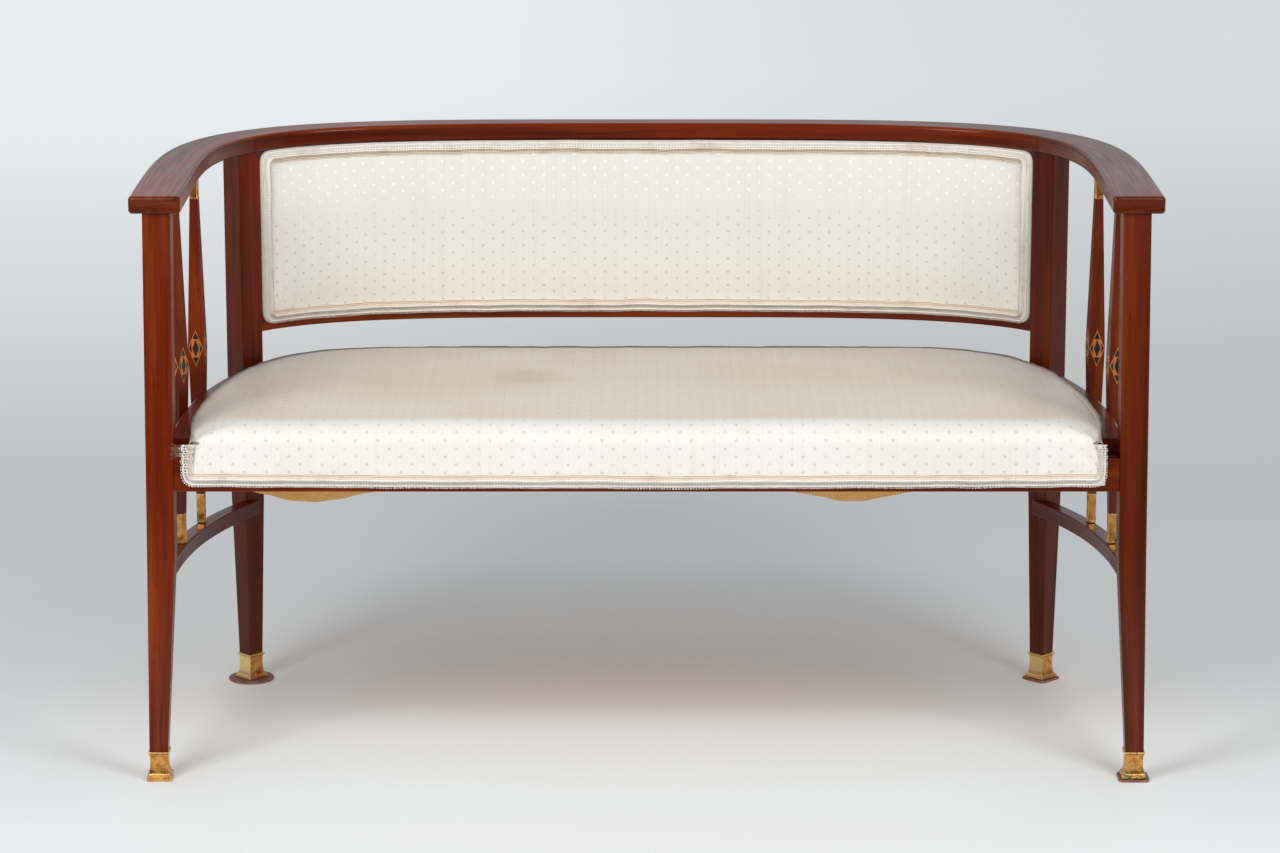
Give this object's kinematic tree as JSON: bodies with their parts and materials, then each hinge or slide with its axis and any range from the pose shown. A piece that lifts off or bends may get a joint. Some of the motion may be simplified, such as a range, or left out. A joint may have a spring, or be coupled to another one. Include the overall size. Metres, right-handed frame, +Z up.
{
  "type": "settee",
  "caption": "Low curved settee with a U-shaped top rail, tapered legs in brass shoes, inlaid posts under the arms, and a padded back panel and seat.",
  "frame": {"origin": "on the floor below the middle of the settee's bounding box", "axes": "+X along the seat, to the right as seen from the front; -Y out of the front of the seat; +Z up"},
  "size_m": [1.222, 0.5836, 0.721],
  "materials": {
    "mahogany": "french polished, worn along the edges",
    "brass": "aged, with brown patches and a trace of green",
    "leather": "dull, flattened",
    "silk": "ivory ribbed weave with small woven dots",
    "braid": "ribbed braid with scalloped edges",
    "ochre_cloth": "slack plain weave",
    "jute": "coarse woven webs",
    "hair": "hessian over curled hair",
    "beech": "sawn, unpolished"
  },
  "bodies": {
    "root": {"right_arm_rail": "mahogany", "crest_rail": "mahogany", "left_arm_rail": "mahogany", "front_left_leg": "mahogany", "front_right_leg": "mahogany", "back_left_leg": "mahogany", "back_right_leg": "mahogany", "left_stretcher": "mahogany", "right_stretcher": "mahogany", "left_front_post": "mahogany", "left_rear_post": "mahogany", "right_front_post": "mahogany", "right_rear_post": "mahogany", "front_seat_rail": "mahogany", "left_seat_rail": "mahogany", "right_seat_rail": "mahogany", "back_seat_rail": "mahogany", "lower_back_rail": "mahogany", "front_left_shoe": "brass", "front_right_shoe": "brass", "back_left_shoe": "brass", "back_right_shoe": "brass", "left_front_post_bottom_ferrule": "brass", "left_front_post_top_ferrule": "brass", "left_rear_post_bottom_ferrule": "brass", "left_rear_post_top_ferrule": "brass", "right_front_post_bottom_ferrule": "brass", "right_front_post_top_ferrule": "brass", "right_rear_post_bottom_ferrule": "brass", "right_rear_post_top_ferrule": "brass", "front_right_pad": "leather", "back_right_pad": "leather", "back_left_pad": "leather", "seat_cushion": "silk", "back_pad": "silk", "rear_cover": "silk", "back_gimp": "braid", "rear_gimp": "braid", "seat_side_gimp": "braid", "seat_front_gimp": "braid", "dust_cloth": "ochre_cloth", "seat_webbing": "jute", "seat_stuffing": "hair", "back_board": "beech", "front_left_corner_block": "beech", "front_right_corner_block": "beech", "back_left_corner_block": "beech", "back_right_corner_block": "beech"}
  },
  "joints": []
}
